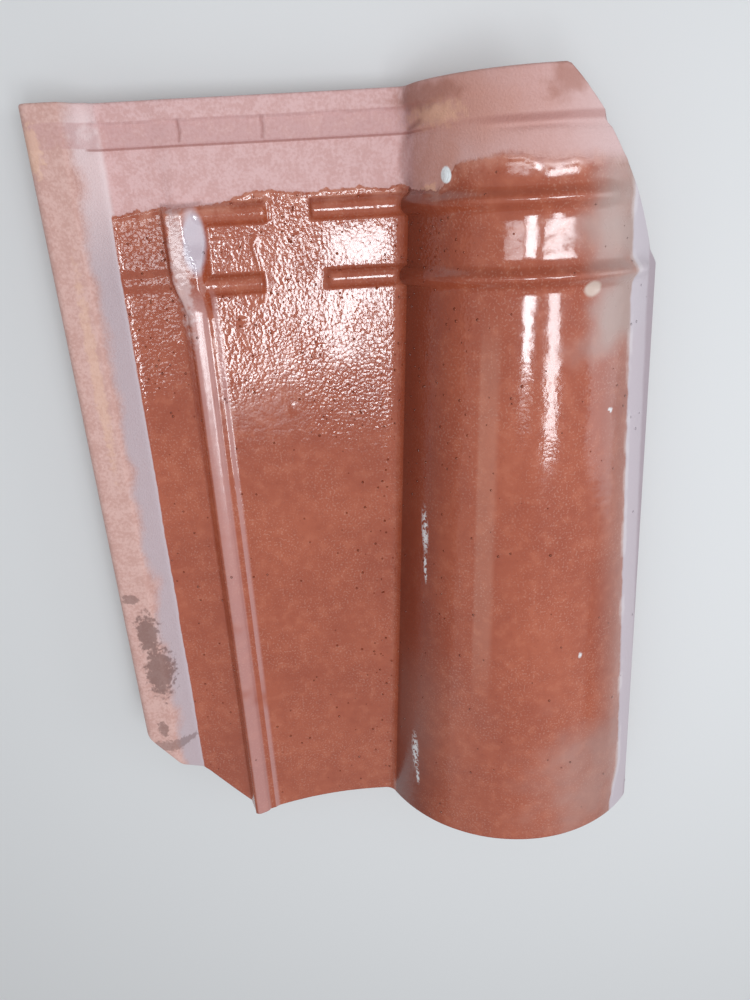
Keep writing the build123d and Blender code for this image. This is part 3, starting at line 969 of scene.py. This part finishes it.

# Pale strip along the roll's free edge, widening to the tail, and the haze beside it. The strip is
# bare clay greyed as a painted sheen of window light, with a painted highlight line on its inner
# side and painted shade on the outermost edge
edge_strip = over_roll + y_place * 0.00038 + (medium - 0.5) * 0.012
edge_strip = edge_strip + y_place.from_to(-165.0, -200.0) * 0.05
pale_edge_sheen = edge_strip.from_to(0.862, 0.874)
outer_edge_shade = edge_strip.from_to(0.955, 0.985)
inner_highlight_line = edge_strip.from_to(0.850, 0.862) * edge_strip.from_to(0.892, 0.880)
inner_highlight_line = inner_highlight_line * coarse.from_to(0.45, 0.6)
# Grey haze on the roll's right side: a dull glaze, greyed further as a painted sheen of window
# light; the patch low near the tail is a scuff
haze_and_sheen = edge_strip.from_to(0.70, 0.87) * 0.34
for x, y, wide, long, soft, strength in (
    (123.0, 106.0, 21.0, 24.0, 1.5, 0.76), (130.0, 150.0, 30.0, 42.0, 1.5, 0.8),
    (126.0, -168.0, 34.0, 38.0, 1.8, 0.42),
):
    haze_and_sheen = haze_and_sheen.most(patch(x, y, wide, long, coarse, soft) * strength)
haze_and_sheen = haze_and_sheen * over_roll.from_to(0.3, 0.5)
foot_haze = patch(12.0, -128.0, 26.0, 34.0, blotches, 1.6) * over_roll.from_to(0.0, 0.04)
haze_and_sheen = haze_and_sheen.most(foot_haze * 0.12)

# Glaze over the red clay: orange brown, a little redder in blotches, with dark specks and pale
# specks painted on as glints of light
glaze_colour = blotches.from_to(0.25, 0.75).over(GLAZE_DEEP, GLAZE_WARM)
glaze_colour = (medium.from_to(0.5, 0.75) * 0.3).over(glaze_colour, GLAZE_LIGHT)
glaze_colour = (medium.from_to(0.5, 0.25) * 0.3).over(glaze_colour, GLAZE_DARK)
specks = pores(4.4).from_to(0.12, 0.05) * grain(5.0, 1.0, shift=3.0).from_to(0.5, 0.65)
glaze_colour = (specks * 0.2).over(glaze_colour, IRON_SPECK)
# Pale specks over the glaze: painted glints, a painted highlight
painted_glints = grain(1.2, 1.0, 0.6, shift=9.0).from_to(0.54, 0.76) * coarse.from_to(0.2, 0.7)
glaze_colour = (painted_glints * 0.16).over(glaze_colour, GLINT_PAINT)
# A pale streak along the roll's left slope: a painted reflection of a window
painted_reflection_streak = over_roll.from_to(0.33, 0.345) * over_roll.from_to(0.41, 0.385)
painted_reflection_streak = painted_reflection_streak * y_place.from_to(-120.0, -60.0) * y_place.from_to(112.0, 80.0)
glaze_colour = (painted_reflection_streak * 0.12).over(glaze_colour, REFLECTION_STREAK_PAINT)
# Paler just inside the glaze's head edge: thinner glaze, lightened further as a painted sheen
thin_glaze_and_sheen = from_head_edge.from_to(9.0, 0.0) * medium.from_to(0.3, 0.6)
glaze_colour = (thin_glaze_and_sheen * 0.38).over(glaze_colour, THIN_GLAZE_SHEEN)
# Pale band on the bead's top and on its step: a painted sheen
bead_painted_sheen = past_ridge.from_to(0.8, 2.0) * past_ridge.from_to(10.0, 8.6)
bead_painted_sheen = bead_painted_sheen.most(past_ridge.from_to(12.0, 12.6) * past_ridge.from_to(15.6, 13.6))
bead_painted_sheen = bead_painted_sheen * y_place.from_to(126.0, 112.0) * coarse.from_to(0.0, 0.4)
glaze_colour = (bead_painted_sheen * 0.5).over(glaze_colour, BEAD_SHEEN_PAINT)
# White glints over the lock block's top and left side: painted highlights
block_painted_glints = patch(-88.4, 132.0, 3.8, 31.0, crumbs, 1.0)
glaze_colour = (block_painted_glints * 0.5).over(glaze_colour, BLOCK_GLINT_PAINT)
# Pale blue-white on the block's smooth facet: a painted reflection of daylight
facet_painted_reflection = patch(-80.6, 143.0, 4.8, 15.0, coarse, 0.5)
glaze_colour = (facet_painted_reflection * 0.65).over(glaze_colour, FACET_REFLECTION_PAINT)
# Darker glaze at the roll's foot and low on its left flank: painted shade
painted_foot_shade = over_roll.from_to(0.0, 0.01) * over_roll.from_to(0.32, 0.02)
glaze_colour = (painted_foot_shade * 0.8).over(glaze_colour, FOOT_SHADE_PAINT)
glaze_colour = haze_and_sheen.over(glaze_colour, HAZE_SHEEN_GREY)
bare_spot = patch(100.0, 116.0, 4.6, 4.2, coarse, 0.4) * 0.8
glaze_colour = bare_spot.over(glaze_colour, SPOT_CREAM)

# Bare clay: pink on the head band and the lip, grey white on the bank: a pale bloom on the clay,
# whitened further as a painted sheen of window light
powder = (medium + fine) * 0.5
bare_colour = powder.from_to(0.36, 0.64).over(BAND_DEEP, BAND_PALE)
lip_colour = powder.from_to(0.36, 0.64).over(LIP_DEEP, LIP_PALE)
on_lip = (x_place + (coarse - 0.5) * 6.0).from_to(LIP_EDGE + 6.0, LIP_EDGE + 1.0)
bare_colour = on_lip.over(bare_colour, lip_colour)
bank_start = x_place + (coarse - 0.5) * 9.0 + (fine - 0.5) * 1.5
bloom_and_sheen = bank_start.from_to(LIP_EDGE - 0.5, LIP_EDGE + 4.5)
bloom_and_sheen = bloom_and_sheen * x_place.from_to(BANK_FOOT + 3.0, BANK_FOOT) * y_place.from_to(222.0, 185.0)
bank_sheen_colour = y_place.from_to(120.0, 180.0).over(BANK_SHEEN_GREY, BANK_SHEEN_WHITE)
bare_colour = (bloom_and_sheen * 0.85).over(bare_colour, bank_sheen_colour)

# The head rim: a painted shade line under its first step, and the strip between its steps
rim_painted_shade = (y_place - (RIM - 0.4)).size().from_to(0.8, 0.2) * over_roll.from_to(0.2, 0.05)
rim_painted_shade = rim_painted_shade * x_place.from_to(BANK_FOOT - 5.0, BANK_FOOT - 3.0)
bare_colour = (rim_painted_shade * 0.65).over(bare_colour, RIM_SHADE_PAINT)
second_strip = y_place.from_to(RIM - 0.2, RIM + 0.4) * y_place.from_to(CROWN + 0.7, CROWN - 0.1)
second_strip = second_strip * over_roll.from_to(0.2, 0.05) * medium.from_to(0.2, 0.6)
bare_colour = (second_strip * 0.5).over(bare_colour, RIM_STRIP)

# The roll's head: browner clay with tan, peach and brown marks, and its pressed lines
bare_colour = (over_roll.from_to(0.05, 0.3) * 0.75).over(bare_colour, ROLL_HEAD)
tan = patch(40.0, 192.0, 26.0, 15.0, coarse, 1.6).most(patch(33.0, 172.0, 12.0, 16.0, coarse, 1.2))
bare_colour = (tan * 0.5 * over_roll.from_to(0.0, 0.05)).over(bare_colour, TAN)
peach = patch(34.0, 191.0, 9.0, 4.5, crumbs, 1.2).most(patch(31.5, 160.0, 3.2, 3.0, crumbs, 0.5))
bare_colour = (peach * 0.6).over(bare_colour, PEACH)
# Bare clay of the roll's head paler towards the free edge: partly painted sheen
bare_colour = (edge_strip.from_to(0.55, 0.8) * 0.6).over(bare_colour, ROLL_HEAD_SHEEN_PALE)
# Darker band on the wall of the rim over the roll: painted shade
roll_rim_painted_shade = (y_place - RIM).size().from_to(2.4, 0.8) * over_roll.from_to(0.25, 0.4)
bare_colour = (roll_rim_painted_shade * 0.4).over(bare_colour, ROLL_RIM_SHADE_PAINT)
# Painted shade in the cracks and the oval hollow
bare_colour = (noted("pressed_line_shade") * 0.6).over(bare_colour, PRESSED_LINE_SHADE)
brown = patch(29.0, 199.0, 13.0, 5.0, medium, 1.2).most(patch(85.0, 199.0, 8.0, 6.0, medium, 1.2))
bare_colour = (brown * 0.6).over(bare_colour, BROWN)

clay_colour = glazed.over(bare_colour, glaze_colour)
# The edge strip: grey as painted sheen, a painted highlight line, and painted shade at the outer
# edge
clay_colour = (pale_edge_sheen * 0.85).over(clay_colour, EDGE_SHEEN_GREY)
clay_colour = (inner_highlight_line * 0.3).over(clay_colour, EDGE_HIGHLIGHT_PAINT)
clay_colour = (outer_edge_shade * 0.6).over(clay_colour, EDGE_SHADE_PAINT)
peach_lip = patch(-145.0, 186.0, 4.0, 10.0, crumbs, 0.6) * 0.5
peach_lip = peach_lip.most(patch(-136.0, 84.0, 2.6, 46.0, crumbs, 0.8) * 0.4)
clay_colour = peach_lip.over(clay_colour, LIP_PEACH)

# Dark stains on the lip and at its tail corner
stain = patch(-135.5, -66.0, 6.0, 13.0, crumbs, 0.5)
stain = stain.most(patch(-133.0, -92.0, 7.5, 16.0, crumbs, 0.5))
for x, y, wide, long, strength in (
    (-141.5, -43.0, 4.5, 3.0, 0.8), (-137.0, -133.0, 3.0, 5.0, 0.8),
    (-134.0, -146.0, 13.0, 4.0, 0.7),
):
    stain = stain.most(patch(x, y, wide, long, crumbs, 0.4) * strength)
clay_colour = (stain * 0.72).over(clay_colour, STAIN)

# White drops of glaze
white = patch(38.5, 165.9, 2.0, 3.4, coarse, 0.3)
for x, y, wide, long in WHITE_DROPS:
    white = white.most(patch(x, y, wide, long, crumbs, 0.7) * crumbs.from_to(0.4, 0.55) * 0.8)
clay_colour = white.over(clay_colour, WHITE_GLAZE)

# The underside and the cut ends: plain fired clay
plain = medium.from_to(0.3, 0.7).over(FIRED_DEEP, FIRED_PALE)
clay_colour = face_up.from_to(0.4, -0.4).over(clay_colour, plain)

# Bare clay is rough; the glaze is glossy but for its haze, its bead and the foot
glossy = glazed * (1.0 - pale_edge_sheen) * (1.0 - haze_and_sheen * 0.3)
roughness = 0.80 - glossy * 0.68 + (painted_foot_shade + bead_painted_sheen) * 0.1 + (medium - 0.5) * 0.05

# The glaze lies over sandy clay, pebbled where it is thick; the bare clay is plain sandy
under_glaze = from_head_edge.least(from_lip_edge).least(face_up).from_to(-0.3, 0.5)
pebble = pores(1.9, 5.0)
pebbles = grain(1.1, 0.0, shift=8.0) * 0.12 + pebble * pebble * -0.23
glaze_height = noted("sandy") * pebbles + grain(4.6, 0.0, shift=2.0) * 0.06
height = under_glaze.over_value(grain(1.0, 1.0, 0.7) * 0.2, glaze_height)
bump = Tone.node("Bump", (), {"Strength": 1.0, "Distance": METRE, "Height": height})

for name, value in (("Base Color", clay_colour), ("Roughness", roughness), ("Normal", bump)):
    clay.node_tree.links.new(value.socket, finish.inputs[name])
finish.inputs["IOR"].default_value = GLAZE_IOR

# The grains become part of the tile's own mesh
pimples = tile.modifiers.new("glaze_pimples", "NODES")
pimples.node_group = glaze_pimples()
for item in pimples.node_group.interface.items_tree:
    if item.name == "Finish":
        pimples[item.identifier] = clay
finished = bpy.data.meshes.new_from_object(
    tile.evaluated_get(bpy.context.evaluated_depsgraph_get())
)
tile.modifiers.remove(pimples)
for slot in reversed(range(len(finished.materials))):
    if finished.materials[slot] is None:
        finished.materials.pop(index=slot)
finished.name = "glazed_roof_tile"
tile.data = finished

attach(tile, "root")
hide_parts("roof_tile")


# Floor, light and camera

FLOOR_REACH, FLOOR_GREY, FLOOR_ROUGHNESS = 3.0, 0.66, 0.9
floor_mesh = bpy.data.meshes.new("floor")
floor_mesh.from_pydata(
    [(x * FLOOR_REACH, y * FLOOR_REACH, 0) for x, y in ((-1, -1), (1, -1), (1, 1), (-1, 1))],
    [], [(0, 1, 2, 3)],
)
floor = bpy.data.objects.new("floor", floor_mesh)
bpy.context.collection.objects.link(floor)
floor_paint = bpy.data.materials.new("floor_paint")
floor_paint.use_nodes = True
paint = floor_paint.node_tree.nodes["Principled BSDF"].inputs
paint["Base Color"].default_value = (FLOOR_GREY, FLOOR_GREY, FLOOR_GREY, 1)
paint["Roughness"].default_value = FLOOR_ROUGHNESS
floor_mesh.materials.append(floor_paint)

ROOM_TINT, ROOM_STRENGTH = (0.95, 0.97, 1.0, 1), 0.30
world = bpy.data.worlds.new("room")
world.use_nodes = True
world.node_tree.nodes["Background"].inputs["Color"].default_value = ROOM_TINT
world.node_tree.nodes["Background"].inputs["Strength"].default_value = ROOM_STRENGTH
bpy.context.scene.world = world


def lamp(name, x_range, y_range, height, radiance, tint=(1.0, 1.0, 1.0)):
    """A level panel of light over the tile, in metres, of a given brightness."""
    light = bpy.data.lights.new(name, "AREA")
    light.shape = "RECTANGLE"
    light.size, light.size_y = x_range[1] - x_range[0], y_range[1] - y_range[0]
    light.energy = radiance * light.size * light.size_y * pi
    light.color = tint
    panel = bpy.data.objects.new(name, light)
    panel.location = (sum(x_range) / 2, sum(y_range) / 2, height)
    bpy.context.collection.objects.link(panel)
    return panel


# The panes of a window by their places over the tile, with their brightness
DAYLIGHT = (0.90, 0.95, 1.0)
WINDOW_HEIGHT, NEAR_WINDOW_HEIGHT, CEILING_HEIGHT = 1.2, 0.6, 1.35
for name, x_range, y_range, height, radiance in (
    ("window_left_pane", (-0.40, -0.17), (0.04, 0.19), WINDOW_HEIGHT, 5.5),
    ("window_left_edge", (-0.52, -0.40), (0.04, 0.19), WINDOW_HEIGHT, 4.0),
    ("window_near_pane", (-0.017, 0.055), (-0.034, 0.142), NEAR_WINDOW_HEIGHT, 16.0),
    ("window_near_foot", (-0.017, 0.055), (-0.090, -0.034), NEAR_WINDOW_HEIGHT, 2.0),
    ("window_middle_pane", (0.17, 0.74), (0.045, 0.25), WINDOW_HEIGHT, 12.5),
    ("window_middle_foot", (0.31, 0.50), (-0.34, 0.03), WINDOW_HEIGHT, 12.0),
):
    lamp(name, x_range, y_range, height, radiance, DAYLIGHT)
lamp("ceiling", (-2.2, 2.4), (-2.4, 1.8), CEILING_HEIGHT, 0.27)
doorway = lamp("doorway", (0.9, 1.7), (-0.5, 0.6), 0.7, 1.2, DAYLIGHT)
doorway.rotation_euler = (0.0, pi / 2, 0.0)

# The camera stands where the photograph was taken
lens = bpy.data.cameras.new("camera")
lens.sensor_fit, lens.sensor_width, lens.lens = "HORIZONTAL", 36.0, 36.0
lens.clip_start, lens.clip_end = 0.01, 20.0
camera = bpy.data.objects.new("camera", lens)
bpy.context.collection.objects.link(camera)
camera_right = Vector((0.99838, -0.05277, 0.02147))
camera_up = Vector((0.05697, 0.92474, -0.37632))
camera_back = camera_right.cross(camera_up)
turned = Matrix((camera_right, camera_up, camera_back)).transposed().to_4x4()
turned.translation = Vector((-0.001225, 0.160112, 0.410335))
camera.matrix_world = turned
bpy.context.scene.camera = camera
bpy.context.scene.view_settings.view_transform = "Standard"

bpy.context.view_layer.update()
